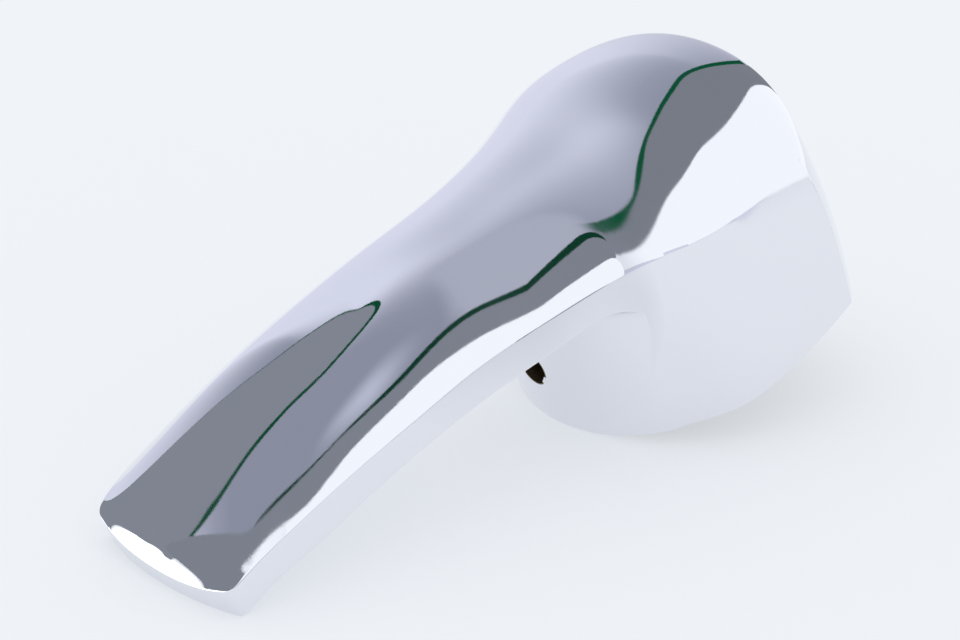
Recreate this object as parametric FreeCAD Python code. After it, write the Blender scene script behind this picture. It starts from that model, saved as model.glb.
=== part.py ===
import FreeCAD, Part
import math
import os
from FreeCAD import Vector

os.makedirs("parts", exist_ok=True)

# Cup wall: round front about the cartridge axis, nearly flat sides, curved back with two soft corners
CUP_RADIUS = 23.5
FRONT_RADIUS = CUP_RADIUS + 0.08
WIDEST_Z = 7.0
BARREL_RADIUS = 100.0
SIDE_RADIUS = 100.0
BACK_RADIUS = 28.0
BACK_CENTRE_X = 0.8
FRONT_END_X = 14.0
CORNER_SPREAD = 1.08
WALL = 2.6
HOLLOW_RADIUS = 23.4
HOLLOW_CENTRE_X = -2.2
HOLLOW_TOP = 38.5

# Dome over the cup
DOME_TOP = 45.8
DOME_EDGE = 26.7
DOME_CREST_X = 1.3
DOME_REACH = 26.7
DOME_CORNER_X = -15.2
DOME_SIDE_X = 2.5
DOME_HALF_WIDTH = 21.4
DOME_BACK_HALF_WIDTH = 20.7
DOME_SIDE_EDGE = 28.3
DOME_ANGLES = (0, 14, 30, 46, 61, 75, 90)
CROWN_ROUND = 0.72

# Neck and lever stations: distance out, half width and height of the crease, top height, underside height
STATIONS = (
    (9.7, 19.1, 28.6, 44.8, 23.4),
    (17.6, 16.1, 28.9, 44.4, 23.8),
    (27.6, 14.4, 29.7, 44.4, 24.5),
    (39.8, 13.8, 31.2, 45.1, 25.8),
    (51.9, 14.7, 32.5, 44.6, 27.6),
    (64.1, 15.3, 33.3, 43.0, 28.3),
    (76.2, 15.4, 33.1, 38.6, 28.1),
    (82.0, 15.0, 32.3, 35.6, 27.6),
)
TIP_CORNER_X = 86.4
TIP_HALF_WIDTH = 14.3
TIP_CORNER_Z = 31.1
TIP_BULGE = 2.2
TIP_CREASE_Z = 29.6
TIP_FILLET = 2.0
ROLL_LENGTH = 1.6
ROLL_HEIGHT = 2.8
TIP_UNDERSIDE_Z = 26.1
TIP_UNDERSIDE_DROP = 2.5
LEVER_DRAFT = 0.02
UNDERSIDE_FILLET = 2.5
UNDERSIDE_WIDTH = 80.0
UNDERSIDE_OVERRUN = 6.0
FOOT_MARGIN = 2.0

# Inside: boss with square stem socket, web with screw hole, key hole through the cup wall
BOSS_RADIUS = 8.0
BOSS_BOTTOM = 5.0
SOCKET = 8.2
SOCKET_DEPTH = 15.0
WEB = 9.0
WEB_END = 21.0
SCREW_Z = 10.1
SCREW_TURN = -5.0
SCREW_RADIUS = 2.5
SCREW_LENGTH = 8.0
SCREW_START = 4.6
SCREW_CHAMFER = 0.5
SCREW_CLEARANCE = 0.05
KEY_HOLE_RADIUS = 3.0
KEY_HOLE_DEPTH = 5.0
KEY_FLATS = 2.5
KEY_DEPTH = 3.0


def inset(z):
    """How far the cup wall stands in from its widest level at one height."""
    return (z - WIDEST_Z) ** 2 / (2.0 * BARREL_RADIUS)


def other_side(p):
    return Vector(p.x, -p.y, p.z)


def spline(points):
    curve = Part.BSplineCurve()
    curve.interpolate(points)
    return curve.toShape()


def arc(a, b, c):
    return Part.Arc(a, b, c).toShape()


def skin_row(edge_x, half, edge_z, centre_x, centre_z):
    """Points across the top skin from the far crease to the near crease."""
    points = []
    for k in range(-4, 5):
        s = k / 4.0
        fall = CROWN_ROUND * s ** 2 + (1.0 - CROWN_ROUND) * s ** 4
        x = centre_x + (edge_x - centre_x) * fall
        z = centre_z + (edge_z - centre_z) * fall
        points.append(Vector(x, s * half, z))
    return points


def dome_row(angle):
    """Row of the dome at one angle up its rounded back."""
    back = math.cos(math.radians(angle))
    rise = math.sin(math.radians(angle))
    edge_x = DOME_SIDE_X + (DOME_CORNER_X - DOME_SIDE_X) * back
    half = DOME_HALF_WIDTH + (DOME_BACK_HALF_WIDTH - DOME_HALF_WIDTH) * back ** 3
    edge_z = DOME_SIDE_EDGE + (DOME_EDGE - DOME_SIDE_EDGE) * back
    centre_x = DOME_CREST_X - DOME_REACH * back
    centre_z = DOME_EDGE + (DOME_TOP - DOME_EDGE) * rise
    return skin_row(edge_x, half, edge_z, centre_x, centre_z)


def tip_rows():
    """Last two rows: the start of the front roll and the front crease itself."""
    roll = skin_row(TIP_CORNER_X - ROLL_LENGTH, TIP_HALF_WIDTH + 0.4, TIP_CORNER_Z + 0.5,
                    TIP_CORNER_X + TIP_BULGE - 2.0, TIP_CREASE_Z + ROLL_HEIGHT)
    front = skin_row(TIP_CORNER_X, TIP_HALF_WIDTH, TIP_CORNER_Z, TIP_CORNER_X + TIP_BULGE, TIP_CREASE_Z)
    return [roll, front]


def cup_half_width(x, radius):
    """Half width of the cup at one distance: side arc behind the axis, round front ahead of it."""
    if x < 0:
        return radius - SIDE_RADIUS + math.sqrt(SIDE_RADIUS ** 2 - x ** 2)
    return math.sqrt(radius ** 2 - x ** 2)


def wall_wire(rows, z):
    """Closed outline of head and lever at one height, in step with the rows of the skin."""
    draft = LEVER_DRAFT * (TIP_CORNER_Z - z)
    points = []
    for r in rows:
        x = r[-1].x * CORNER_SPREAD if r[-1].x < 0 else r[-1].x
        half = cup_half_width(x, CUP_RADIUS - inset(z)) if x < FRONT_END_X else r[-1].y - draft
        points.append(Vector(x, half, z))
    corner = points[0]
    end = points[-1]
    back_mid = Vector(BACK_CENTRE_X - BACK_RADIUS + inset(z), 0, z)
    tip_mid = Vector(TIP_CORNER_X + TIP_BULGE - draft, 0, z)
    return Part.Wire([
        spline(points),
        arc(end, tip_mid, other_side(end)),
        spline([other_side(p) for p in reversed(points)]),
        arc(other_side(corner), back_mid, corner),
    ])


def outer_form(rows, skin):
    """Head and lever as one block: top skin, four walls from its crease, flat foot."""
    u0, u1, v0, v1 = skin.bounds()
    crease = [skin.vIso(v1), skin.uIso(u1), skin.vIso(v0), skin.uIso(u0)]
    crease_wire = Part.Wire(Part.__sortEdges__([c.toShape() for c in crease]))
    wires = [wall_wire(rows, z) for z in (0.0, WIDEST_Z, 17.0)]
    walls = Part.makeLoft(wires + [crease_wire], False)
    form = Part.makeCompound(walls.Faces + [Part.Face(wires[0]), skin.toShape()])
    form.sewShape()
    return Part.Solid(form.Shells[0])


def barrel():
    """Round front of the cup as a full turn of its bulged wall."""
    low = -FOOT_MARGIN
    high = HOLLOW_TOP
    mid = (low + high) / 2.0
    profile = [Vector(inset(z) - FRONT_RADIUS, 0, z) for z in (low, mid, high)]
    foot = Vector(0, 0, low)
    head = Vector(0, 0, high)
    wire = Part.Wire([
        arc(profile[0], profile[1], profile[2]),
        Part.makeLine(profile[2], head),
        Part.makeLine(head, foot),
        Part.makeLine(foot, profile[0]),
    ])
    return Part.Face(wire).revolve(Vector(), Vector(0, 0, 1), 360)


def space_under_lever():
    """Everything below the lever's underside and outside the cup's round front."""
    side = -UNDERSIDE_WIDTH / 2.0
    points = [Vector(x, side, under) for x, half, edge, top, under in STATIONS]
    points.append(Vector(TIP_CORNER_X, side, TIP_UNDERSIDE_Z))
    points.append(Vector(TIP_CORNER_X + UNDERSIDE_OVERRUN, side, TIP_UNDERSIDE_Z - TIP_UNDERSIDE_DROP))
    start = points[0]
    end = points[-1]
    foot_start = Vector(start.x, side, -FOOT_MARGIN)
    foot_end = Vector(end.x, side, -FOOT_MARGIN)
    wire = Part.Wire([
        spline(points),
        Part.makeLine(end, foot_end),
        Part.makeLine(foot_end, foot_start),
        Part.makeLine(foot_start, start),
    ])
    space = Part.Face(wire).extrude(Vector(0, UNDERSIDE_WIDTH, 0)).cut(barrel())
    roots = []
    for e in space.Edges:
        box = e.BoundBox
        if box.ZMin > WIDEST_Z and abs(box.XMax - FRONT_RADIUS) < UNDERSIDE_FILLET:
            roots.append(e)
    return space.makeFillet(UNDERSIDE_FILLET, roots)


def round_lever(body):
    """Round the two upright corners of the tip."""
    tips = []
    for e in body.Edges:
        box = e.BoundBox
        if box.XMin > TIP_CORNER_X - TIP_FILLET / 2.0 and box.YLength < TIP_FILLET / 2.0:
            tips.append(e)
    return body.makeFillet(TIP_FILLET, tips)


def hollow():
    """Straight-walled hollow of the cup, one wall inside its rim, under a domed roof."""
    radius = CUP_RADIUS - WALL
    corner_x = DOME_CORNER_X + WALL / 2.0
    corner = Vector(corner_x, cup_half_width(corner_x, radius), -1.0)
    middle = Vector(corner_x / 2.0, cup_half_width(corner_x / 2.0, radius), -1.0)
    widest = Vector(0, radius, -1.0)
    back_mid = Vector(BACK_CENTRE_X - BACK_RADIUS + WALL, 0, -1.0)
    outline = Part.Wire([
        arc(corner, middle, widest),
        arc(widest, Vector(radius, 0, -1.0), other_side(widest)),
        arc(other_side(widest), other_side(middle), other_side(corner)),
        arc(other_side(corner), back_mid, corner),
    ])
    walls = Part.Face(outline).extrude(Vector(0, 0, HOLLOW_TOP))
    centre_z = HOLLOW_TOP - HOLLOW_RADIUS
    roof = Part.makeSphere(HOLLOW_RADIUS, Vector(HOLLOW_CENTRE_X, 0, centre_z))
    below = Part.makeCylinder(BACK_RADIUS, centre_z + 1.0, Vector(0, 0, -1.0))
    return walls.common(roof.fuse(below))


def turned(shape):
    """Swing a shape from the lever's middle plane to the screw's own direction."""
    shape.rotate(Vector(), Vector(0, 0, 1), SCREW_TURN)
    return shape


def boss_and_web():
    """Boss round the stem and the web that carries the screw to the front of the cup."""
    height = HOLLOW_TOP + 1.0 - BOSS_BOTTOM
    boss = Part.makeCylinder(BOSS_RADIUS, height, Vector(0, 0, BOSS_BOTTOM))
    web = Part.makeBox(WEB_END, WEB, height, Vector(0, -WEB / 2.0, BOSS_BOTTOM))
    return boss.fuse(turned(web))


def screw_rod(radius, start, end):
    return Part.makeCylinder(radius, end - start, Vector(start, 0, SCREW_Z), Vector(1, 0, 0))


def holes():
    """Stem socket, screw hole and key hole."""
    socket = Part.makeBox(SOCKET, SOCKET, SOCKET_DEPTH + 1.0,
                          Vector(-SOCKET / 2.0, -SOCKET / 2.0, BOSS_BOTTOM - 1.0))
    screw = screw_rod(SCREW_RADIUS + SCREW_CLEARANCE, 0.0, FRONT_RADIUS)
    key = screw_rod(KEY_HOLE_RADIUS, FRONT_RADIUS - KEY_HOLE_DEPTH, FRONT_RADIUS + 1.0)
    return socket.fuse(turned(screw.fuse(key)))


def set_screw():
    """Grub screw with chamfered ends and a hexagon key socket facing the key hole."""
    end = SCREW_START + SCREW_LENGTH
    screw = screw_rod(SCREW_RADIUS, SCREW_START, end)
    screw = screw.makeChamfer(SCREW_CHAMFER, [e for e in screw.Edges if e.Closed])
    across = KEY_FLATS / math.sqrt(3.0)
    corners = []
    for k in range(7):
        a = math.radians(60 * k)
        corners.append(Vector(end - KEY_DEPTH, across * math.cos(a), SCREW_Z + across * math.sin(a)))
    key = Part.Face(Part.makePolygon(corners)).extrude(Vector(KEY_DEPTH + 1.0, 0, 0))
    return turned(screw.cut(key))


rows = [dome_row(a) for a in DOME_ANGLES]
rows += [skin_row(x, half, edge, x, top) for x, half, edge, top, under in STATIONS]
rows += tip_rows()
skin = Part.BSplineSurface()
skin.interpolate(rows)

body = round_lever(outer_form(rows, skin).cut(space_under_lever()))
body = body.cut(hollow()).fuse(boss_and_web()).cut(holes()).removeSplitter()
screw = set_screw()
body.exportStep("parts/handle_body.step")
screw.exportStep("parts/set_screw.step")
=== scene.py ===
import logging
import math
from dataclasses import dataclass, field
from enum import Enum
from typing import Callable, Sequence

import bmesh
import bpy
import numpy as np
from mathutils import Matrix, Vector
from mathutils.bvhtree import BVHTree


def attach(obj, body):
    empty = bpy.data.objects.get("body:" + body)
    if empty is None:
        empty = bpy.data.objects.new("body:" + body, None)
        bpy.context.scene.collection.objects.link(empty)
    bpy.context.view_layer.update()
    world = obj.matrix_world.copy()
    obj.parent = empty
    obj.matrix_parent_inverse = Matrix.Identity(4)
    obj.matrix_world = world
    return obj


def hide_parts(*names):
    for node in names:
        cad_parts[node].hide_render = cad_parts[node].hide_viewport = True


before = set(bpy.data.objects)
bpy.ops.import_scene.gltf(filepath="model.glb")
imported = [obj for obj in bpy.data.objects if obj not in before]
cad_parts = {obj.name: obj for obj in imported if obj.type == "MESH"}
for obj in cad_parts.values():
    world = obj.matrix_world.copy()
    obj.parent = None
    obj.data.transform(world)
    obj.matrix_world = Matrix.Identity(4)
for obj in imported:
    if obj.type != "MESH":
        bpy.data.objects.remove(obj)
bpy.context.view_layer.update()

MM = 0.001
BISECTIONS = 50
LOG = logging.getLogger("tap_handle")
logging.basicConfig(level=logging.INFO, format="%(message)s")

Coordinate = tuple[float, float, float]


def linear(code: str) -> tuple[float, float, float, float]:
    """Turn an sRGB hex colour into linear light.

    Args:
        code: Colour as six hex digits after a hash sign.

    Returns:
        Linear red, green, blue and an alpha of one.
    """
    parts = [int(code[k:k + 2], 16) / 255.0 for k in (1, 3, 5)]
    light = [c / 12.92 if c <= 0.04045 else ((c + 0.055) / 1.055) ** 2.4 for c in parts]
    return (light[0], light[1], light[2], 1.0)


def add_node(tree: bpy.types.NodeTree, kind: str, settings: dict | None = None,
             links: dict | None = None) -> bpy.types.Node:
    """Add one node with its settings and the links into it.

    Args:
        tree: Node tree that gets the node.
        kind: Blender's node type.
        settings: Properties by name, and input values by socket name.
        links: Sockets to link from, by input name or number.

    Returns:
        The new node.
    """
    node = tree.nodes.new(kind)
    for name, value in (settings or {}).items():
        if name in node.inputs:
            node.inputs[name].default_value = value
        else:
            setattr(node, name, value)
    for name, socket in (links or {}).items():
        tree.links.new(socket, node.inputs[name])
    return node


def new_material(name: str) -> bpy.types.Material:
    """Make an empty node material.

    Args:
        name: Name of the material.

    Returns:
        The material, with no nodes yet.
    """
    material = bpy.data.materials.new(name)
    material.use_nodes = True
    material.node_tree.nodes.clear()
    return material


def mesh_object(name: str, bm: bmesh.types.BMesh) -> bpy.types.Object:
    """Turn a bmesh into a linked object.

    Args:
        name: Name of the object and its mesh.
        bm: Finished bmesh, freed here.

    Returns:
        The object, at the origin.
    """
    mesh = bpy.data.meshes.new(name)
    bm.to_mesh(mesh)
    bm.free()
    piece = bpy.data.objects.new(name, mesh)
    bpy.context.scene.collection.objects.link(piece)
    return piece


@dataclass(frozen=True)
class PolishedChrome:
    """Bright chrome plating on a polished zinc casting: mirror sharp, cool, with hairline wiping marks."""

    colour: str = "#EDEEF3"
    roughness: float = 0.035
    hairline_mm: float = 0.09
    haze_mm: float = 9.0

    def build(self) -> bpy.types.Material:
        """Build the plating.

        Returns:
            Node material with fine scratches and slight haze.
        """
        material = new_material("polished_chrome_plating")
        tree = material.node_tree
        place = add_node(tree, "ShaderNodeTexCoord")
        haze = add_node(tree, "ShaderNodeTexNoise", {"Scale": 1.0 / (self.haze_mm * MM), "Detail": 3.0},
                        {"Vector": place.outputs["Object"]})
        rough = add_node(tree, "ShaderNodeMapRange", {"From Min": 0.35, "From Max": 0.7,
                         "To Min": self.roughness * 0.7, "To Max": self.roughness * 1.6},
                         {"Value": haze.outputs["Fac"]})
        along = add_node(tree, "ShaderNodeMapping", {"Rotation": (0.2, 0.3, 0.5), "Scale": (0.02, 1.0, 1.0)},
                         {"Vector": place.outputs["Object"]})
        hair = add_node(tree, "ShaderNodeTexNoise", {"Scale": 1.0 / (self.hairline_mm * MM), "Detail": 2.0},
                        {"Vector": along.outputs["Vector"]})
        bump = add_node(tree, "ShaderNodeBump", {"Strength": 0.02, "Distance": 0.00005},
                        {"Height": hair.outputs["Fac"]})
        shader = add_node(tree, "ShaderNodeBsdfPrincipled",
                          {"Base Color": linear(self.colour), "Metallic": 1.0},
                          {"Roughness": rough.outputs["Result"], "Normal": bump.outputs["Normal"]})
        add_node(tree, "ShaderNodeOutputMaterial", links={"Surface": shader.outputs["BSDF"]})
        return material


@dataclass(frozen=True)
class FlashedCasting:
    """Inside of the casting: as-cast zinc under a thin flash of plating, dull, yellowish and grainy."""

    colour: str = "#8A7A5E"
    dark: str = "#5A4C38"
    roughness: float = 0.42
    grain_mm: float = 0.5

    def build(self) -> bpy.types.Material:
        """Build the unpolished inside.

        Returns:
            Node material with casting grain.
        """
        material = new_material("flash_plated_casting")
        tree = material.node_tree
        place = add_node(tree, "ShaderNodeTexCoord")
        grain = add_node(tree, "ShaderNodeTexNoise", {"Scale": 1.0 / (self.grain_mm * MM), "Detail": 4.0},
                         {"Vector": place.outputs["Object"]})
        tint = add_node(tree, "ShaderNodeMix", {"data_type": "RGBA"}, {0: grain.outputs["Fac"]})
        tint.inputs[6].default_value = linear(self.dark)
        tint.inputs[7].default_value = linear(self.colour)
        rough = add_node(tree, "ShaderNodeMapRange",
                         {"To Min": self.roughness * 0.8, "To Max": self.roughness * 1.3},
                         {"Value": grain.outputs["Fac"]})
        bump = add_node(tree, "ShaderNodeBump", {"Strength": 0.3, "Distance": 0.00004},
                        {"Height": grain.outputs["Fac"]})
        shader = add_node(tree, "ShaderNodeBsdfPrincipled", {"Metallic": 1.0},
                          {"Base Color": tint.outputs[2], "Roughness": rough.outputs["Result"],
                           "Normal": bump.outputs["Normal"]})
        add_node(tree, "ShaderNodeOutputMaterial", links={"Surface": shader.outputs["BSDF"]})
        return material


@dataclass(frozen=True)
class MachinedSteel:
    """Plain machined steel of the grub screw: grey, fine turning marks, half matt."""

    colour: str = "#8C8A86"
    roughness: float = 0.38
    mark_mm: float = 0.12

    def build(self) -> bpy.types.Material:
        """Build the steel.

        Returns:
            Node material with turning marks.
        """
        material = new_material("machined_steel")
        tree = material.node_tree
        place = add_node(tree, "ShaderNodeTexCoord")
        grain = add_node(tree, "ShaderNodeTexNoise", {"Scale": 1.0 / (self.mark_mm * MM), "Detail": 3.0},
                         {"Vector": place.outputs["Object"]})
        rough = add_node(tree, "ShaderNodeMapRange",
                         {"To Min": self.roughness * 0.8, "To Max": self.roughness * 1.2},
                         {"Value": grain.outputs["Fac"]})
        bump = add_node(tree, "ShaderNodeBump", {"Strength": 0.15, "Distance": 0.00002},
                        {"Height": grain.outputs["Fac"]})
        shader = add_node(tree, "ShaderNodeBsdfPrincipled",
                          {"Base Color": linear(self.colour), "Metallic": 1.0},
                          {"Roughness": rough.outputs["Result"], "Normal": bump.outputs["Normal"]})
        add_node(tree, "ShaderNodeOutputMaterial", links={"Surface": shader.outputs["BSDF"]})
        return material


class Curve:
    """Natural cubic curve through values at rising places."""

    def __init__(self, places: Sequence[float], values: Sequence[Sequence[float]]) -> None:
        """Fit the curve.

        Args:
            places: Rising positions of the values.
            values: One row of numbers for each place.
        """
        self.places = np.array(places, float)
        self.values = np.array(values, float)
        count = len(self.places)
        gap = np.diff(self.places)
        slope = np.diff(self.values, axis=0) / gap[:, None]
        system = np.eye(count)
        bend = np.zeros_like(self.values)
        for k in range(1, count - 1):
            system[k, k - 1:k + 2] = (gap[k - 1], 2.0 * (gap[k - 1] + gap[k]), gap[k])
            bend[k] = 6.0 * (slope[k] - slope[k - 1])
        self.bends = np.linalg.solve(system, bend)
        self.known: dict[float, np.ndarray] = {}

    def at(self, place: float) -> np.ndarray:
        """Give the values at one place.

        Args:
            place: Position along the curve.

        Returns:
            The row of numbers there.
        """
        if place in self.known:
            return self.known[place]
        k = int(np.clip(np.searchsorted(self.places, place) - 1, 0, len(self.places) - 2))
        gap = self.places[k + 1] - self.places[k]
        a = (self.places[k + 1] - place) / gap
        b = 1.0 - a
        rise = ((a ** 3 - a) * self.bends[k] + (b ** 3 - b) * self.bends[k + 1]) * gap ** 2 / 6.0
        self.known[place] = a * self.values[k] + b * self.values[k + 1] + rise
        return self.known[place]


@dataclass
class HandleForm:
    """Outer surfaces of the casting, in millimetres, with the sizes of the part's source."""

    cup_radius: float = 23.5
    front_radius: float = 23.58
    widest_z: float = 7.0
    barrel_radius: float = 100.0
    side_radius: float = 100.0
    back_radius: float = 28.0
    back_centre_x: float = 0.8
    front_end_x: float = 14.0
    corner_spread: float = 1.08
    dome_top: float = 45.8
    dome_edge: float = 26.7
    dome_crest_x: float = 1.3
    dome_reach: float = 26.7
    dome_corner_x: float = -15.2
    dome_side_x: float = 2.5
    dome_half_width: float = 21.4
    dome_back_half_width: float = 20.7
    dome_side_edge: float = 28.3
    dome_angles: tuple[float, ...] = (0.0, 14.0, 30.0, 46.0, 61.0, 75.0, 90.0)
    crown_round: float = 0.72
    # Distance out, half width and height of the crease, top height, underside height
    stations: tuple[tuple[float, float, float, float, float], ...] = (
        (9.7, 19.1, 28.6, 44.8, 23.4),
        (17.6, 16.1, 28.9, 44.4, 23.8),
        (27.6, 14.4, 29.7, 44.4, 24.5),
        (39.8, 13.8, 31.2, 45.1, 25.8),
        (51.9, 14.7, 32.5, 44.6, 27.6),
        (64.1, 15.3, 33.3, 43.0, 28.3),
        (76.2, 15.4, 33.1, 38.6, 28.1),
        (82.0, 15.0, 32.3, 35.6, 27.6),
    )
    tip_corner_x: float = 86.4
    tip_half_width: float = 14.3
    tip_corner_z: float = 31.1
    tip_bulge: float = 2.2
    tip_crease_z: float = 29.6
    tip_fillet: float = 2.0
    tip_lead: float = 2.0
    roll_length: float = 1.6
    roll_height: float = 2.8
    roll_spread: float = 0.4
    roll_rise: float = 0.5
    roll_setback: float = 2.0
    tip_underside_z: float = 26.1
    tip_underside_drop: float = 2.5
    underside_overrun: float = 6.0
    lever_draft: float = 0.02
    underside_fillet: float = 2.5
    bulge_start_x: float = 66.0
    seam_x: float = 15.2
    seam_blend: int = 8
    levels: tuple[float, float, float] = (0.0, 7.0, 17.0)

    def __post_init__(self) -> None:
        """Fit the curves along the handle."""
        rows = []
        for angle in self.dome_angles:
            back = math.cos(math.radians(angle))
            rise = math.sin(math.radians(angle))
            rows.append((
                self.dome_side_x + (self.dome_corner_x - self.dome_side_x) * back,
                self.dome_half_width + (self.dome_back_half_width - self.dome_half_width) * back ** 3,
                self.dome_side_edge + (self.dome_edge - self.dome_side_edge) * back,
                self.dome_crest_x - self.dome_reach * back,
                self.dome_edge + (self.dome_top - self.dome_edge) * rise,
            ))
        rows += [(x, half, edge, x, top) for x, half, edge, top, under in self.stations]
        rows.append((self.tip_corner_x - self.roll_length, self.tip_half_width + self.roll_spread,
                     self.tip_corner_z + self.roll_rise,
                     self.tip_corner_x + self.tip_bulge - self.roll_setback,
                     self.tip_crease_z + self.roll_height))
        rows.append((self.tip_corner_x, self.tip_half_width, self.tip_corner_z,
                     self.tip_corner_x + self.tip_bulge, self.tip_crease_z))
        middles = [Vector(((r[0] + r[3]) / 2.0, r[1] / 2.0, (r[2] + r[4]) / 2.0)) for r in rows]
        places = [0.0]
        for a, b in zip(middles, middles[1:]):
            places.append(places[-1] + (b - a).length)
        self.length = places[-1]
        self.rows = Curve(places, rows)
        self.low = Curve(places, [self.low_row(r) for r in rows])
        under = [(s[0], s[4]) for s in self.stations]
        under.append((self.tip_corner_x, self.tip_underside_z))
        under.append((self.tip_corner_x + self.underside_overrun,
                      self.tip_underside_z - self.tip_underside_drop))
        self.under = Curve([u[0] for u in under], [[u[1]] for u in under])
        self.seam = self.place_of(self.seam_x)
        self.root_radius = math.hypot(*self.edge(self.seam)[:2])
        self.tip_centre, self.side_way, self.front_way, self.tip_radius = self.tip_round()

    def inset(self, z: float) -> float:
        """How far the cup wall stands in from its widest level at one height."""
        return (z - self.widest_z) ** 2 / (2.0 * self.barrel_radius)

    def low_row(self, row: Sequence[float]) -> list[float]:
        """Wall outline at the three low levels for one row of the skin.

        Args:
            row: Crease distance, half width and height, then crest distance and height.

        Returns:
            Distance out, then the half width at each level.
        """
        x = row[0] * self.corner_spread if row[0] < 0.0 else row[0]
        halves = []
        for z in self.levels:
            radius = self.cup_radius - self.inset(z)
            if x < 0.0:
                halves.append(radius - self.side_radius + math.sqrt(self.side_radius ** 2 - x ** 2))
            elif x < self.front_end_x:
                halves.append(math.sqrt(radius ** 2 - x ** 2))
            else:
                halves.append(row[1] - self.lever_draft * (self.tip_corner_z - z))
        return [x, *halves]

    def place_of(self, x: float) -> float:
        """Find the place along the crease that lies at one distance out.

        Args:
            x: Distance out along the lever.

        Returns:
            The place along the handle.
        """
        low, high = 0.0, self.length
        for _ in range(BISECTIONS):
            mid = (low + high) / 2.0
            if self.rows.at(mid)[0] < x:
                low = mid
            else:
                high = mid
        return (low + high) / 2.0

    def tip_round(self) -> tuple[Vector, Vector, Vector, float]:
        """Find the upright rounding between the lever's side and its front.

        Returns:
            Centre in plan, directions to the side and to the front, and the front's own radius.
        """
        corner = Vector((self.tip_corner_x, self.tip_half_width))
        before = self.rows.at(self.length - self.tip_lead)
        run = (Vector((before[0], before[1])) - corner).normalized()
        side = Vector((run.y, -run.x))
        radius = (self.tip_half_width ** 2 + self.tip_bulge ** 2) / (2.0 * self.tip_bulge)
        hub = Vector((self.tip_corner_x + self.tip_bulge - radius, 0.0))
        low, high = 0.0, 3.0 * self.tip_fillet
        for _ in range(BISECTIONS):
            mid = (low + high) / 2.0
            centre = corner - side * self.tip_fillet + run * mid
            if (centre - hub).length > radius - self.tip_fillet:
                low = mid
            else:
                high = mid
        return centre, side, (centre - hub).normalized(), radius

    def rounded(self, x: float, y: float) -> tuple[float, float]:
        """Pull a point of the sharp tip outline in to its rounded corner.

        Args:
            x: Distance out.
            y: Distance to the side.

        Returns:
            The moved distances.
        """
        way = Vector((x, abs(y))) - self.tip_centre
        if way.length < 1e-9 or self.side_way.cross(way) > 0.0 or way.cross(self.front_way) > 0.0:
            return x, y
        unit = way.normalized()
        if unit.dot(self.side_way) <= 0.0 or unit.dot(self.front_way) <= 0.0:
            return x, y
        to_side = self.tip_fillet / unit.dot(self.side_way)
        hub = Vector((self.tip_corner_x + self.tip_bulge - self.tip_radius, 0.0))
        offset = self.tip_centre - hub
        along = unit.dot(offset)
        to_front = -along + math.sqrt(along ** 2 + self.tip_radius ** 2 - offset.length_squared)
        moved = self.tip_centre + way * self.tip_fillet / min(to_side, to_front)
        return moved.x, math.copysign(moved.y, y)

    def fall(self, s: float) -> float:
        """Share of the crown's height lost at one share of the half width."""
        return self.crown_round * s ** 2 + (1.0 - self.crown_round) * s ** 4

    def raw_skin(self, t: float, s: float) -> Vector:
        """Point of the top skin before the tip corners are rounded.

        Args:
            t: Place along the handle.
            s: Place across it, from the far crease at -1 to the near crease at 1.

        Returns:
            The point.
        """
        edge_x, half, edge_z, centre_x, centre_z = self.rows.at(t)
        fall = self.fall(s)
        return Vector((centre_x + (edge_x - centre_x) * fall, s * half,
                       centre_z + (edge_z - centre_z) * fall))

    def skin(self, t: float, s: float) -> Vector:
        """Point of the top skin.

        Args:
            t: Place along the handle.
            s: Place across it, from the far crease at -1 to the near crease at 1.

        Returns:
            The point, on the skin at its place in plan after the tip corners are rounded.
        """
        point = self.raw_skin(t, s)
        x, y = self.rounded(point.x, point.y)
        if (x, y) == (point.x, point.y):
            return point
        step = 0.01
        for _ in range(6):
            point = self.raw_skin(t, s)
            by_t = (self.raw_skin(t - step, s) - point) / -step
            by_s = (self.raw_skin(t, s - step) - point) / -step
            spread = by_t.x * by_s.y - by_t.y * by_s.x
            miss_x, miss_y = x - point.x, y - point.y
            t = min(t + (miss_x * by_s.y - miss_y * by_s.x) / spread, self.length)
            s = max(-1.0, min(1.0, s + (by_t.x * miss_y - by_t.y * miss_x) / spread))
        return Vector((x, y, self.raw_skin(t, s).z))

    def through_levels(self, z: float, top: float, values: Sequence[float]) -> float:
        """Smooth value at one height through the three low levels and the crease.

        Args:
            z: Height asked for.
            top: Height of the crease.
            values: Values at the three levels and the crease.

        Returns:
            The value of the cubic through all four.
        """
        heights = (*self.levels, top)
        total = 0.0
        for k, value in enumerate(values):
            share = 1.0
            for n, other in enumerate(heights):
                if n != k:
                    share *= (z - other) / (heights[k] - other)
            total += share * value
        return total

    def wall(self, t: float, z: float) -> tuple[float, float]:
        """Near wall in plan at one place and height.

        Args:
            t: Place along the handle.
            z: Height.

        Returns:
            Distance out and distance to the side.
        """
        edge_x, half, edge_z = self.rows.at(t)[:3]
        x, *halves = self.low.at(t)
        return (self.through_levels(z, edge_z, (x, x, x, edge_x)),
                self.through_levels(z, edge_z, (*halves, half)))

    def back(self, s: float, z: float) -> Vector:
        """Point of the curved back wall.

        Args:
            s: Place across it, from the far corner at -1 to the near one at 1.
            z: Height.

        Returns:
            The point.
        """
        x_low, *halves = self.low.at(0.0)
        edge = self.raw_skin(0.0, s)
        xs, ys = [], []
        for level, half in zip(self.levels, halves):
            mid = self.back_centre_x - self.back_radius + self.inset(level)
            sag = x_low - mid
            radius = (half ** 2 + sag ** 2) / (2.0 * sag)
            xs.append(mid + radius - math.sqrt(radius ** 2 - (s * half) ** 2))
            ys.append(s * half)
        return Vector((self.through_levels(z, edge.z, (*xs, edge.x)),
                       self.through_levels(z, edge.z, (*ys, edge.y)), z))

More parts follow.
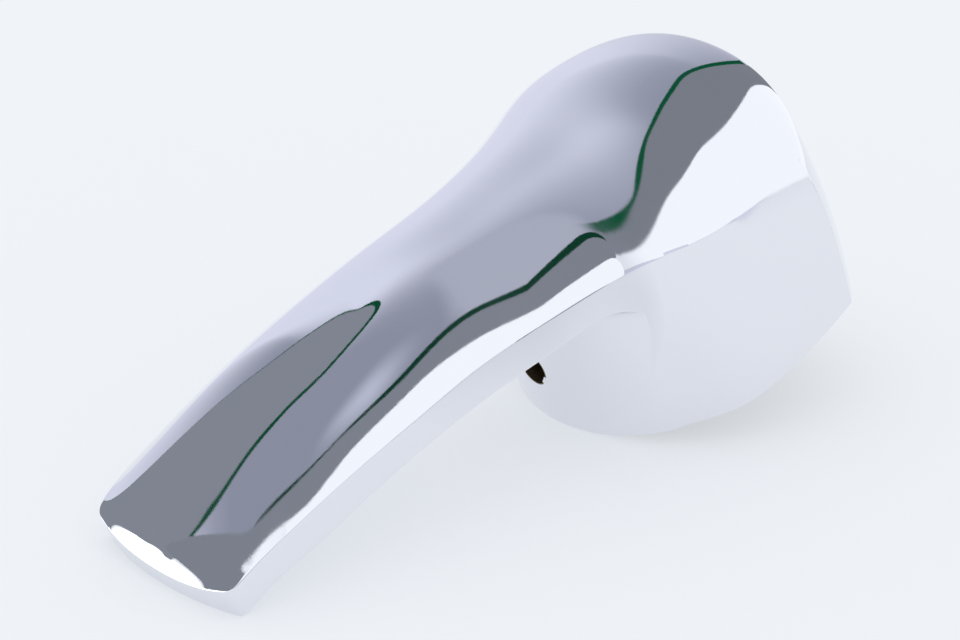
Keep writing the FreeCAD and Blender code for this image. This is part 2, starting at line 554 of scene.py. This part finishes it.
    def edge(self, t: float) -> tuple[float, float, float]:
        """Lower edge of the lever's near side, before the tip corner is rounded.

        Args:
            t: Place along the handle, from the seam on.

        Returns:
            Plan place and the root fillet's drop below the plain underside.
        """
        # The first height is a guess, which the steps close in on
        z, drop = self.dome_edge - 4.0, self.underside_fillet
        for _ in range(4):
            x, y = self.wall(t, z)
            if t > self.seam:
                share = max(0.0, min(1.0, (math.hypot(x, y) - self.root_radius) / self.underside_fillet))
                drop = self.underside_fillet * (1.0 - math.sqrt(1.0 - (1.0 - share) ** 2))
            z = float(self.under.at(x)[0]) - drop
        return x, y, drop

    def barrel(self, s: float, z: float) -> Vector:
        """Point of the cup's round front, between the two seams.

        Args:
            s: Place round it, from the far seam at -1 to the near one at 1.
            z: Height.

        Returns:
            The point, led over to the side walls at the seams.
        """
        x, y = self.wall(self.seam, z)
        plain = self.front_radius - self.inset(z)
        radius = plain + (math.hypot(x, y) - plain) * abs(s) ** self.seam_blend
        angle = math.atan2(y, x) * s
        return Vector((radius * math.cos(angle), radius * math.sin(angle), z))

    def barrel_top(self, s: float) -> float:
        """Height at which the cup's round front runs into the root fillet.

        Args:
            s: Place round the front, from -1 to 1.

        Returns:
            The height.
        """
        # The first height is a guess, which the steps close in on
        z = self.dome_edge - 5.0
        for _ in range(4):
            z = float(self.under.at(self.barrel(s, z).x)[0]) - self.underside_fillet
        return z

    def plain_underside(self, t: float, s: float) -> Vector:
        """Point of the underside as arcs about the cup's axis, with the tip's bulge at the end.

        Args:
            t: Place along the handle, from the seam on.
            s: Place across it, from the far edge at -1 to the near edge at 1.

        Returns:
            The point.
        """
        x, y, drop = self.edge(t)
        radius = math.hypot(x, y)
        angle = math.atan2(y, x) * s
        px, py = radius * math.cos(angle), radius * math.sin(angle)
        near_tip = (x - self.bulge_start_x) / (self.tip_corner_x - self.bulge_start_x)
        near_tip = max(0.0, min(1.0, near_tip))
        px += near_tip ** 2 * (x + self.tip_bulge - radius) * (1.0 - s ** 2)
        px, py = self.rounded(px, py)
        return Vector((px, py, float(self.under.at(px)[0]) - drop))

    def underside(self, t: float, s: float) -> Vector:
        """Point of the lever's underside and its root fillet.

        Args:
            t: Place along the handle, from the seam on.
            s: Place across it, from the far edge at -1 to the near edge at 1.

        Returns:
            The point, led into the cup's round front at the seam.
        """
        point = self.plain_underside(t, s)
        past_root = math.hypot(point.x, point.y) - self.root_radius
        lead = max(0.0, 1.0 - past_root / (2.0 * self.underside_fillet))
        if lead > 0.0:
            start = self.plain_underside(self.seam, s)
            point += (self.barrel(s, self.barrel_top(s)) - start) * min(1.0, lead)
        return point


@dataclass
class HandleBody:
    """The casting: bell-shaped head whose dome flows into the lever, all in one piece."""

    node: str = "handle_body"
    slot: str = "chrome_plate"
    form: HandleForm = field(default_factory=HandleForm)
    outside: PolishedChrome = field(default_factory=PolishedChrome)
    inside: FlashedCasting = field(default_factory=FlashedCasting)
    # Cells of the grids, and how far they crowd towards the lever's ends
    across: int = 96
    along_cup: int = 64
    along_lever: int = 130
    band_rows: int = 10
    cup_rows: int = 48
    crowding: float = 0.11
    # Key hole: place and sizes in degrees and millimetres, its mouth and the bent grid round it in cells
    key_turn: float = -5.0
    key_z: float = 10.1
    key_radius: float = 3.0
    key_round: float = 0.2
    key_cells: int = 7
    key_reach: int = 13
    key_slack: float = 1.001
    # Edges: rounding in millimetres, and the angles in degrees past which an edge is rounded or shaded sharp
    edge_round: float = 0.16
    edge_cuts: int = 3
    sharp_angle: float = 14.0
    smooth_angle: float = 35.0
    # Joining, in millimetres: run of the tip's corner, welded gap, and what counts as skin, rim plane and rim
    tip_run: float = 10.0
    weld: float = 0.002
    skin_depth: float = 0.45
    rim_flat: float = 0.01
    rim_height: float = 1.0

    def patch(self, bm: bmesh.types.BMesh, columns: int, rows: int,
              surface: Callable[[float, float], Vector]) -> list[bmesh.types.BMVert]:
        """Lay a grid on one surface of the form.

        Args:
            bm: Mesh that gets the grid.
            columns: Cells along the first direction.
            rows: Cells along the second direction.
            surface: Gives a point in millimetres for two shares from 0 to 1.

        Returns:
            The grid's points.
        """
        points = bmesh.ops.create_grid(bm, x_segments=columns, y_segments=rows, size=0.5)["verts"]
        for v in points:
            u = round((v.co.x + 0.5) * columns) / columns
            w = round((v.co.y + 0.5) * rows) / rows
            v.co = surface(u, w) * MM
        return points

    def lever_place(self, u: float) -> float:
        """Place along the lever, closer together at its root and its tip."""
        share = u - self.crowding * math.sin(2.0 * math.pi * u)
        return self.form.seam + (self.form.length - self.form.seam) * share

    def band_point(self, t: float, w: float) -> Vector:
        """Point of the near side band of the lever.

        Args:
            t: Place along the handle, from the seam on.
            w: Share down from the crease to the underside.

        Returns:
            The point, on the wall up to the tip's corner and straight from edge to edge there.
        """
        form = self.form
        top, foot = form.skin(t, 1.0), form.underside(t, 1.0)
        point = top.lerp(foot, w)
        if top.x < form.tip_corner_x - self.tip_run:
            x, y = form.wall(t, point.z)
            end_x, end_y = form.wall(t, foot.z)
            point.x, point.y = x + (foot.x - end_x) * w, y + (foot.y - end_y) * w
        return point

    def side(self, t: float, top: float, foot: float, w: float) -> Vector:
        """Point of the near wall between two heights.

        Args:
            t: Place along the handle.
            top: Upper height.
            foot: Lower height.
            w: Share down from the upper to the lower one.

        Returns:
            The point.
        """
        z = top + (foot - top) * w
        x, y = self.form.wall(t, z)
        return Vector((x, y, z))

    def front_point(self, u: float, w: float) -> Vector:
        """Point of the cup's round front, with the grid drawn round to the key hole's mouth.

        Args:
            u: Share across from the far seam to the near one.
            w: Share down from the lever's root to the rim.

        Returns:
            The point on the front.
        """
        form = self.form
        s = 2.0 * u - 1.0
        point = form.barrel(s, form.barrel_top(s) * (1.0 - w))
        across, down, ring = self.key_offset(u, w)
        if ring >= self.key_reach:
            return point
        radius = form.front_radius - form.inset(self.key_z)
        turn = math.radians(self.key_turn)
        a = radius * math.sin(math.atan2(point.y, point.x) - turn)
        b = point.z - self.key_z
        way = math.atan2(-down, across)
        mouth = (self.key_radius + self.key_round) * ring / self.key_cells
        share = max(0.0, (ring - self.key_cells) / (self.key_reach - self.key_cells))
        share = share * share * (3.0 - 2.0 * share)
        a += (mouth * math.cos(way) - a) * (1.0 - share)
        b += (mouth * math.sin(way) - b) * (1.0 - share)
        angle = turn + math.asin(a / radius)
        z = self.key_z + b
        x, y = form.wall(form.seam, z)
        return form.barrel(angle / math.atan2(y, x), z)

    def key_offset(self, u: float, w: float) -> tuple[int, int, int]:
        """Count the cells from the key hole's middle.

        Args:
            u: Share across the front from the far seam to the near one.
            w: Share down from the lever's root to the rim.

        Returns:
            Cells across, down and outwards.
        """
        form = self.form
        x, y = form.wall(form.seam, self.key_z)
        middle = round((math.radians(self.key_turn) / math.atan2(y, x) + 1.0) / 2.0 * self.across)
        level = round((1.0 - self.key_z / form.barrel_top(0.0)) * self.cup_rows)
        across = round(u * self.across) - middle
        down = round(w * self.cup_rows) - level
        return across, down, max(abs(across), abs(down))

    def lay_outside(self) -> bmesh.types.BMesh:
        """Lay all outer surfaces and join them along their edges.

        Returns:
            Outer shell, open at the rim and the key hole.
        """
        form = self.form
        bm = bmesh.new()
        edge_x, _, drop = form.edge(form.seam)
        line = float(form.under.at(edge_x)[0]) - drop
        back_top = form.dome_edge
        n, cup, lever = self.across, self.along_cup, self.along_lever
        band, low = self.band_rows, self.cup_rows
        self.patch(bm, cup, n, lambda u, w: form.skin(form.seam * u, 2.0 * w - 1.0))
        self.patch(bm, lever, n, lambda u, w: form.skin(self.lever_place(u), 2.0 * w - 1.0))
        self.patch(bm, lever, n, lambda u, w: form.underside(self.lever_place(u), 2.0 * w - 1.0))
        self.patch(bm, n, band, lambda u, w: form.skin(form.length, 2.0 * u - 1.0).lerp(
            form.underside(form.length, 2.0 * u - 1.0), w))
        self.patch(bm, n, band, lambda u, w: form.back(2.0 * u - 1.0, back_top + (line - back_top) * w))
        self.patch(bm, n, low, lambda u, w: form.back(2.0 * u - 1.0, line * (1.0 - w)))
        for mirror in (Vector((1.0, 1.0, 1.0)), Vector((1.0, -1.0, 1.0))):
            self.patch(bm, lever, band, lambda u, w: self.band_point(self.lever_place(u), w) * mirror)
            self.patch(bm, cup, band, lambda u, w: self.side(
                form.seam * u, float(form.rows.at(form.seam * u)[2]), line, w) * mirror)
            self.patch(bm, cup, low, lambda u, w: self.side(form.seam * u, line, 0.0, w) * mirror)
        front = self.patch(bm, n, low, self.front_point)
        self.open_key_hole(bm, front)
        bmesh.ops.remove_doubles(bm, verts=bm.verts, dist=self.weld * MM)
        bmesh.ops.recalc_face_normals(bm, faces=bm.faces)
        return bm

    def open_key_hole(self, bm: bmesh.types.BMesh, front: list[bmesh.types.BMVert]) -> None:
        """Take the cells inside the key hole's mouth out of the front.

        Args:
            bm: Outer shell.
            front: Points of the cup's round front.
        """
        turn = math.radians(self.key_turn)
        way = Vector((math.cos(turn), math.sin(turn), 0.0))
        reach = (self.key_radius + self.key_round) * self.key_slack
        inside = set()
        for v in front:
            point = v.co / MM - Vector((0.0, 0.0, self.key_z))
            if (point - way * point.dot(way)).length < reach:
                inside.add(v)
        holed = [f for f in bm.faces if all(v in inside for v in f.verts)]
        bmesh.ops.delete(bm, geom=holed, context="FACES")

    def build(self) -> bpy.types.Object:
        """Build and dress the casting.

        Returns:
            The piece, riding on the root body.
        """
        bm = self.lay_outside()
        self.add_inside(bm)
        bmesh.ops.recalc_face_normals(bm, faces=bm.faces)
        for f in bm.faces:
            f.smooth = True
        for e in bm.edges:
            e.smooth = e.is_manifold and e.calc_face_angle(0.0) < math.radians(self.smooth_angle)
        piece = mesh_object("handle_casting", bm)
        piece.data.materials.append(self.outside.build())
        piece.data.materials.append(self.inside.build())
        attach(piece, "root")
        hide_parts(self.node)
        return piece

    def add_inside(self, bm: bmesh.types.BMesh) -> None:
        """Join the inside of the CAD casting to the outer shell at the rim and the key hole.

        Args:
            bm: Outer shell, which becomes a closed casting with rounded edges.
        """
        shell = BVHTree.FromBMesh(bm)
        inner = bmesh.new()
        inner.from_mesh(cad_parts[self.node].data)
        bmesh.ops.remove_doubles(inner, verts=inner.verts, dist=self.weld * MM)
        outer = []
        for f in inner.faces:
            near = shell.find_nearest(f.calc_center_median())[3]
            on_rim = all(v.co.z < self.rim_flat * MM for v in f.verts)
            if on_rim or near < self.skin_depth * MM:
                outer.append(f)
        bmesh.ops.delete(inner, geom=outer, context="FACES")
        self.round_edges(bm)
        for f in inner.faces:
            f.material_index = 1
        part = bpy.data.meshes.new("inside")
        inner.to_mesh(part)
        inner.free()
        bm.from_mesh(part)
        bpy.data.meshes.remove(part)
        open_edges = [e for e in bm.edges if e.is_boundary]
        rim = [e for e in open_edges if all(v.co.z < self.rim_height * MM for v in e.verts)]
        mouth = [e for e in open_edges if e not in rim]
        bmesh.ops.bridge_loops(bm, edges=rim)
        bmesh.ops.bridge_loops(bm, edges=mouth)
        LOG.info("casting joined, open edges left: %d", sum(e.is_boundary for e in bm.edges))

    def round_edges(self, bm: bmesh.types.BMesh) -> None:
        """Round the crease, the back corners and the lever's lower edges as plating leaves them.

        Args:
            bm: Outer shell.
        """
        least = math.radians(self.sharp_angle)
        sharp = [e for e in bm.edges if e.is_manifold and e.calc_face_angle(0.0) > least]
        bmesh.ops.bevel(bm, geom=sharp, offset=self.edge_round * MM, offset_type="OFFSET",
                        segments=self.edge_cuts, profile=0.5, affect="EDGES", material=-1,
                        clamp_overlap=False)


@dataclass
class GrubScrew:
    """The hexagon socket screw in the web."""

    node: str = "set_screw"
    finish: MachinedSteel = field(default_factory=MachinedSteel)

    def build(self) -> bpy.types.Object:
        """Dress the CAD screw in machined steel.

        Returns:
            The CAD object.
        """
        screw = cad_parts[self.node]
        screw.data.materials.clear()
        screw.data.materials.append(self.finish.build())
        return screw


Direction = tuple[float, float]


class Hub(Enum):
    """Middles of the two groups of panels, in millimetres, and how far off the panels hang."""

    HEAD = (0.0, 0.0, 25.0, 60.0)
    LEVER = (60.0, 0.0, 32.0, 50.0)


@dataclass(frozen=True)
class Panel:
    """One glowing panel of the tent, bent round a hub and seen only as a painted reflection in the chrome.

    Directions are degrees of azimuth from the camera's own, and degrees above the floor. A foot closes the
    outline at one height. The layer is millimetres beyond the hub's reach, and a panel on a lower layer hides
    those behind it. grow widens the outline by degrees, and soft is the share of the panel that fades out.
    """

    name: str
    hub: Hub
    colour: str
    middle: Direction
    outline: tuple[Direction, ...]
    foot: float | None = None
    layer: float = 0.0
    grow: float = 0.0
    soft: float = 0.0
    strength: float = 1.0
    foot_steps: int = 8

    def ring(self) -> list[Direction]:
        """Give the outline, closed along its foot.

        Returns:
            The directions round the panel.
        """
        if self.foot is None:
            return list(self.outline)
        first, last = self.outline[0][0], self.outline[-1][0]
        shares = (k / self.foot_steps for k in range(self.foot_steps + 1))
        return [*self.outline, *((last + (first - last) * share, self.foot) for share in shares)]


# Head: painted reflections of a grey arch, a white highlight under it, and the arch's green edge, drawn in at
# its foot
ARCH: tuple[Direction, ...] = (
    (21, 10), (20.5, 22), (22, 38), (29, 52.5), (48, 62), (80, 67.5), (110, 66.5), (129, 59), (142, 39),
    (153, 18), (157, 10))
ARCH_WHITE: tuple[Direction, ...] = (
    (23.5, 3), (25.5, 12), (33, 25), (57, 36), (90, 42), (118, 38), (134, 27), (147, 8))
ARCH_EDGE: tuple[Direction, ...] = ((22, 23), *ARCH[2:-1])

# Far half of the lever: a painted grey reflection, and its green edge, which stands out on one side only
GAP: tuple[Direction, ...] = (
    (-98, -10), (-103, 5), (-106, 22), (-108, 46), (-120, 65), (-137, 80), (155, 87), (95, 82.5), (74, 75.5),
    (42, 75), (8, 71.5), (-20, 65.5), (-39, 55), (-51, 42), (-59, 24), (-62, 12))
FAR_GREEN_LINE_WIDTH: Direction = (1.2, -1.5)
FAR_GREEN_LINE: tuple[Direction, ...] = (
    *GAP[:7], *((a + FAR_GREEN_LINE_WIDTH[0], e + FAR_GREEN_LINE_WIDTH[1]) for a, e in GAP[7:]))

# Near side of the lever: painted reflections of a grey band, the line on its upper edge, wider towards the
# neck, a white highlight below it, and a dark painted reflection along the crease
LINE_WIDTH = 0.8
NECK_LINE_WIDTH = 2.0
NECK_START = 60
SIDE_GREY: tuple[Direction, ...] = (
    (-46, -13), (-62, -14), (-66, -6), (-57, 13.5), (-33, 27), (-14, 33.5), (18, 37), (45, 34.5), (69, 31),
    (84, 29), (91, 25.5), (98, 24.5), (104, 27.5), (106, 22), (103, 16))
SIDE_LINE: tuple[Direction, ...] = (
    (-40, 8), (-36, 20),
    *((a, e + (LINE_WIDTH if a < NECK_START else NECK_LINE_WIDTH)) for a, e in SIDE_GREY[5:-3]),
    (103.5, 29.5), (105.5, 24), (100, 13))
SIDE_WHITE: tuple[Direction, ...] = (
    (-31, 8), (-29, 20.5), (-10, 29), (15, 30), (38, 27.5), (62, 25.5), (78, 24), (88, 20), (97, 19),
    (107, 21), (106.5, 14.5), (97, 7), (93, 4))
CREASE: tuple[Direction, ...] = ((70, 9), (76, 12), (90, 12), (96, 9))

# Soft painted reflections: grey over the lever's middle, paler before the arch at the neck, a painted sheen
# and grey round the head
TONGUE: tuple[Direction, ...] = (
    (-140, 20), (-138, 50), (-150, 76), (170, 84), (124, 70), (113, 52), (110, 20))
NECK: tuple[Direction, ...] = (
    (82, 30), (84, 48), (93, 62), (103, 60), (108.5, 48), (107.5, 38), (105, 31), (101, 25), (96, 21),
    (88, 21))
SHEEN: tuple[Direction, ...] = ((22, 40), (42, 49), (62, 50), (76, 44), (79, 34), (62, 29), (42, 32))
HALO: tuple[Direction, ...] = (
    (-30, 10), (-32, 35), (-50, 55), (-85, 45), (-110, 32), (-140, 34), (205, 35), (202, 10))

# Glowing panels, no lamps, that paint reflections onto the chrome: tones, a sheen, lines and white highlights
PANELS: tuple[Panel, ...] = (
    Panel("lever_grey_reflection", Hub.LEVER, "#9397A7", (20, 48), TONGUE, -14.0, layer=2.0, soft=0.52),
    Panel("lever_sheen", Hub.LEVER, "#C2C5D6", (57, 40), SHEEN, layer=1.5, soft=1.0),
    Panel("neck_pale_reflection", Hub.LEVER, "#B2B6C5", (97, 36), NECK, layer=1.5, soft=0.3),
    Panel("head_grey_reflection", Hub.HEAD, "#979BAC", (85, 20), HALO, -6.0, layer=30.0, soft=0.62),
    Panel("far_green_line", Hub.LEVER, "#0B4A31", (-75, 60), FAR_GREEN_LINE, -12.0, layer=0.2, grow=0.7),
    Panel("gap", Hub.LEVER, "#898E97", (-75, 60), GAP, -16.0),
    Panel("side_line", Hub.LEVER, "#0E3B2A", (60, 8), SIDE_LINE, 6.0, layer=0.1),
    Panel("side_grey", Hub.LEVER, "#848992", (60, 8), SIDE_GREY, 4.0),
    Panel("crease_dark_reflection", Hub.LEVER, "#24272C", (84, 8), CREASE, 0.9, layer=0.5),
    Panel("side_white", Hub.LEVER, "#F8FBFF", (60, 6), SIDE_WHITE, 2.0, layer=-1.0, strength=1.1),
    Panel("arch_edge", Hub.HEAD, "#0B5236", (80, 22), ARCH_EDGE, 14.0, layer=0.2, grow=1.4),
    Panel("arch", Hub.HEAD, "#7F848C", (80, 10), ARCH, 4.0, grow=-0.9),
    Panel("arch_white", Hub.HEAD, "#F8FBFF", (80, 8), ARCH_WHITE, -0.5, layer=-1.0, strength=1.1),
)


@dataclass
class Stage:
    """Pale floor, soft light, the studio tent that the chrome reflects, and glowing panels that paint
    reflections onto it.
    """

    tilt: float = 22.7
    contact: Coordinate = (23.6, 0.0, 0.0)
    camera_azimuth: float = 43.76
    floor_size: float = 8.0
    pale: str = "#F0F4F9"
    light_colour: str = "#FFFFFF"
    lit_floor: float = 0.62
    tent_radius: float = 0.3
    tent_colour: str = "#E2E5F4"
    tent_cells: tuple[int, int] = (48, 24)
    strip_place: Coordinate = (86.0, -12.0, 0.5)
    strip_size: tuple[float, float] = (22.0, 44.0)
    strip_glow: float = 1.2
    panels: tuple[Panel, ...] = PANELS
    cells_per_point: int = 8
    cells_out: int = 12
    overlap: int = 3
    weld: float = 0.001

    def axes(self) -> Matrix:
        """Turn floor directions into the part's frame.

        Returns:
            Matrix whose columns are the floor's own x, y and upright directions.
        """
        return Matrix.Rotation(math.radians(-self.tilt), 3, "Y")

    def way(self, direction: Direction) -> Vector:
        """Turn one direction into a unit vector.

        Args:
            direction: Azimuth from the camera and height above the floor, in degrees.

        Returns:
            The vector, in the part's frame.
        """
        turn = math.radians(self.camera_azimuth + direction[0])
        rise = math.radians(direction[1])
        return self.axes() @ Vector((math.cos(rise) * math.cos(turn), math.cos(rise) * math.sin(turn),
                                     math.sin(rise)))

    def build_floor(self) -> bpy.types.Object:
        """Lay the floor that the rim and the tip stand on.

        Returns:
            The floor, which shows its own paleness to the camera and keeps the shadow.
        """
        bm = bmesh.new()
        bmesh.ops.create_grid(bm, x_segments=1, y_segments=1, size=self.floor_size / 2.0)
        bmesh.ops.rotate(bm, verts=bm.verts, matrix=self.axes())
        bmesh.ops.translate(bm, verts=bm.verts, vec=Vector(self.contact) * MM)
        floor = mesh_object("floor", bm)
        material = new_material("pale_paper_floor")
        tree = material.node_tree
        matt = add_node(tree, "ShaderNodeBsdfDiffuse", {"Color": linear(self.pale)})
        glow = add_node(tree, "ShaderNodeEmission", {"Color": linear(self.pale)})
        share = add_node(tree, "ShaderNodeMath", {"operation": "MULTIPLY"}, {0: self.seen(tree)})
        share.inputs[1].default_value = self.lit_floor
        top = add_node(tree, "ShaderNodeMixShader", links={
            0: share.outputs["Value"], 1: matt.outputs["BSDF"], 2: glow.outputs["Emission"]})
        front = self.one_sided(tree, top.outputs["Shader"])
        add_node(tree, "ShaderNodeOutputMaterial", links={"Surface": front})
        floor.data.materials.append(material)
        return floor

    def seen(self, tree: bpy.types.NodeTree) -> bpy.types.NodeSocket:
        """Tell rays that show the background, straight or in metal, from rays that light the scene.

        Args:
            tree: Node tree that gets the test.

        Returns:
            Socket that is 1 for a ray that shows the background.
        """
        path = add_node(tree, "ShaderNodeLightPath")
        both = add_node(tree, "ShaderNodeMath", {"operation": "MAXIMUM"},
                        {0: path.outputs["Is Camera Ray"], 1: path.outputs["Is Glossy Ray"]})
        every = add_node(tree, "ShaderNodeMath", {"operation": "MAXIMUM"},
                         {0: both.outputs["Value"], 1: path.outputs["Is Transmission Ray"]})
        return every.outputs["Value"]

    def one_sided(self, tree: bpy.types.NodeTree, front: bpy.types.NodeSocket) -> bpy.types.NodeSocket:
        """Let a sheet be seen from its front only.

        Args:
            tree: Node tree of the sheet's material.
            front: Shader of the front.

        Returns:
            Shader that is clear from behind.
        """
        side = add_node(tree, "ShaderNodeNewGeometry")
        clear = add_node(tree, "ShaderNodeBsdfTransparent")
        sheet = add_node(tree, "ShaderNodeMixShader", links={
            0: side.outputs["Backfacing"], 1: front, 2: clear.outputs["BSDF"]})
        return sheet.outputs["Shader"]

    def build_world(self) -> None:
        """Surround the scene with one pale colour, and with plain white light for the floor."""
        world = bpy.data.worlds.new("pale_tent")
        bpy.context.scene.world = world
        world.use_nodes = True
        tree = world.node_tree
        tree.nodes.clear()
        light = add_node(tree, "ShaderNodeBackground", {"Color": linear(self.light_colour)})
        shown = add_node(tree, "ShaderNodeBackground", {"Color": linear(self.pale)})
        both = add_node(tree, "ShaderNodeMixShader", links={
            0: self.seen(tree), 1: light.outputs["Background"], 2: shown.outputs["Background"]})
        add_node(tree, "ShaderNodeOutputWorld", links={"Surface": both.outputs["Shader"]})

    def reflected_glow(self, name: str, colour: str, strength: float = 1.0) -> bpy.types.Material:
        """Make an even glow, no lamp, for the tent and for panels that paint reflections, fading out with
        each point's fade share.

        Args:
            name: Name of the panel.
            colour: Hex colour of the glow.
            strength: Brightness, 1 for white paper.

        Returns:
            The material.
        """
        material = new_material(name + "_cloth")
        tree = material.node_tree
        # The glow is no lamp: on a panel it paints a reflection onto the chrome
        glow = add_node(tree, "ShaderNodeEmission", {"Color": linear(colour), "Strength": strength})
        clear = add_node(tree, "ShaderNodeBsdfTransparent")
        glow_fade = add_node(tree, "ShaderNodeAttribute", {"attribute_name": "glow_fade"})
        both = add_node(tree, "ShaderNodeMixShader", links={
            0: glow_fade.outputs["Fac"], 1: clear.outputs["BSDF"], 2: glow.outputs["Emission"]})
        front = self.one_sided(tree, both.outputs["Shader"])
        add_node(tree, "ShaderNodeOutputMaterial", links={"Surface": front})
        return material

    def hang(self, name: str, bm: bmesh.types.BMesh, material: bpy.types.Material) -> bpy.types.Object:
        """Turn a mesh into a panel that only reflections show.

        Args:
            name: Name of the panel.
            bm: Its mesh, with the front towards the handle.
            material: Its glow.

        Returns:
            The panel.
        """
        piece = mesh_object(name, bm)
        piece.data.materials.append(material)
        piece.visible_camera = False
        piece.visible_diffuse = False
        piece.visible_shadow = False
        piece.visible_transmission = False
        return piece

    def build_panel(self, panel: Panel) -> bpy.types.Object:
        """Hang one glowing panel that paints a reflection onto the chrome.

        Args:
            panel: Place, outline and colour.

        Returns:
            The panel, seen only in reflections.
        """
        ring = [tuple(self.way(d)) for d in panel.ring()]
        count = len(ring)
        # A few points are repeated at both ends, so that the closed edge runs on smoothly
        places = range(-self.overlap, count + self.overlap + 1)
        edge = Curve(places, [ring[k % count] for k in places])
        middle = self.way(panel.middle)
        x, y, z, reach = panel.hub.value
        bm = bmesh.new()
        glow_fade = bm.verts.layers.float.new("glow_fade")
        columns, rows = self.cells_per_point * count, self.cells_out
        for v in bmesh.ops.create_grid(bm, x_segments=columns, y_segments=rows, size=0.5)["verts"]:
            u = round((v.co.x + 0.5) * columns) / columns * count
            w = round((v.co.y + 0.5) * rows) / rows
            end = Vector(edge.at(u)).normalized()
            angle = middle.angle(end) + math.radians(panel.grow)
            turn = Matrix.Rotation(angle * w, 3, middle.cross(end))
            v.co = (Vector((x, y, z)) + turn @ middle * (reach + panel.layer)) * MM
            fade = max(0.0, min(1.0, (1.0 - w) / panel.soft)) if panel.soft else 1.0
            v[glow_fade] = fade * fade * (3.0 - 2.0 * fade)
        bmesh.ops.remove_doubles(bm, verts=bm.verts, dist=self.weld * MM)
        bm.normal_update()
        hub = Vector((x, y, z)) * MM
        if sum((f.calc_center_median() - hub).dot(f.normal) * f.calc_area() for f in bm.faces) > 0.0:
            bmesh.ops.reverse_faces(bm, faces=bm.faces)
        return self.hang(panel.name, bm, self.reflected_glow(panel.name, panel.colour, panel.strength))

    def build_tent(self) -> bpy.types.Object:
        """Hang the evenly glowing lavender-white backdrop that closes the tent behind the panels.

        Returns:
            The cloth, seen only in reflections.
        """
        bm = bmesh.new()
        glow_fade = bm.verts.layers.float.new("glow_fade")
        columns, rows = self.tent_cells
        made = bmesh.ops.create_uvsphere(bm, u_segments=columns, v_segments=rows, radius=self.tent_radius)
        for v in made["verts"]:
            v[glow_fade] = 1.0
        bmesh.ops.reverse_faces(bm, faces=bm.faces)
        return self.hang("tent", bm, self.reflected_glow("tent", self.tent_colour))

    def build_strip(self) -> bpy.types.Object:
        """Lay the low strip lamp before the tip, whose rounded edge reflects it.

        Returns:
            The lamp, shining upwards and seen only in reflections.
        """
        lamp = bpy.data.lights.new("low_strip", "AREA")
        lamp.shape = "RECTANGLE"
        lamp.size, lamp.size_y = (side * MM for side in self.strip_size)
        lamp.energy = self.strip_glow * math.pi * lamp.size * lamp.size_y
        strip = bpy.data.objects.new("low_strip", lamp)
        bpy.context.scene.collection.objects.link(strip)
        place = Vector(self.contact) + self.axes() @ Vector(self.strip_place)
        up = self.axes() @ Matrix.Rotation(math.pi, 3, "X")
        strip.matrix_world = Matrix.Translation(place * MM) @ up.to_4x4()
        strip.visible_camera = False
        strip.visible_diffuse = False
        strip.visible_transmission = False
        return strip

    def build(self) -> None:
        """Set up the surroundings, the floor, the tent, the lamp and the panels that paint reflections."""
        self.build_world()
        self.build_floor()
        self.build_tent()
        self.build_strip()
        for panel in self.panels:
            self.build_panel(panel)


@dataclass
class PhotoCamera:
    """Camera at the photograph's viewing angle."""

    location: Coordinate = (0.19743, 0.27725, 0.27819)
    right: Coordinate = (-0.68779, 0.67039, -0.27844)
    up: Coordinate = (-0.60055, -0.31001, 0.73705)
    lens: float = 112.5
    sensor: float = 36.0

    def build(self) -> bpy.types.Object:
        """Make the scene's camera.

        Returns:
            The camera.
        """
        data = bpy.data.cameras.new("photo_camera")
        data.lens = self.lens
        data.sensor_width = self.sensor
        camera = bpy.data.objects.new("photo_camera", data)
        x = Vector(self.right).normalized()
        y = Vector(self.up).normalized()
        turn = Matrix((x, y, x.cross(y))).transposed().to_4x4()
        camera.matrix_world = Matrix.Translation(Vector(self.location)) @ turn
        bpy.context.scene.collection.objects.link(camera)
        bpy.context.scene.camera = camera
        return camera


def main() -> None:
    """Build the handle, its stage and the camera."""
    bpy.context.scene.view_settings.view_transform = "Standard"
    PhotoCamera().build()
    Stage().build()
    for piece in (HandleBody().build(), GrubScrew().build()):
        LOG.info("%s: %d faces", piece.name, len(piece.data.polygons))


if __name__ == "__main__":
    main()
